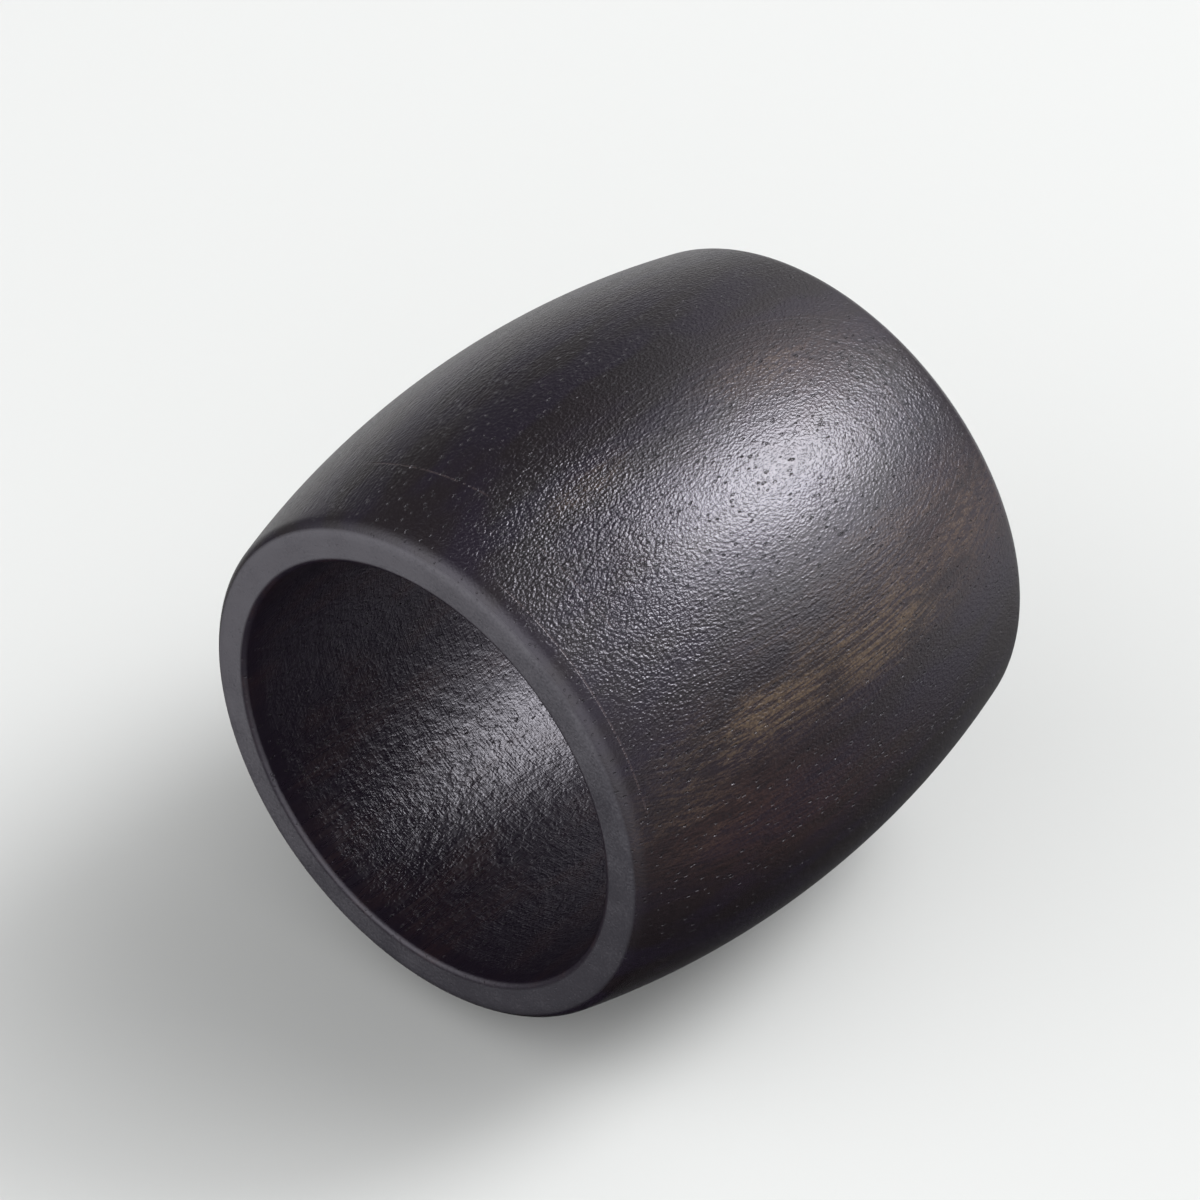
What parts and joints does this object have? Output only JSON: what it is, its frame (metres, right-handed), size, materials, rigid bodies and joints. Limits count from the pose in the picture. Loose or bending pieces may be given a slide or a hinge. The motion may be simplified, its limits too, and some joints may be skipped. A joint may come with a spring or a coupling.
{
  "type": "napkin ring",
  "caption": "Barrel-shaped turned wooden napkin ring with a straight round bore, flat ends with rounded edges and a dark satin finish.",
  "frame": {"origin": "centre of the end face that the ring stands on, on the axis of the bore", "axes": "+Z along the bore, up from the end that the ring stands on; the ring is the same all round, so +X and +Y point anywhere across it"},
  "size_m": [0.05, 0.05, 0.0465],
  "materials": {
    "stained_wood": "espresso stain under a thin satin lacquer, with the grain and pores open"
  },
  "bodies": {
    "root": {"turned_ring": "stained_wood"}
  },
  "joints": []
}
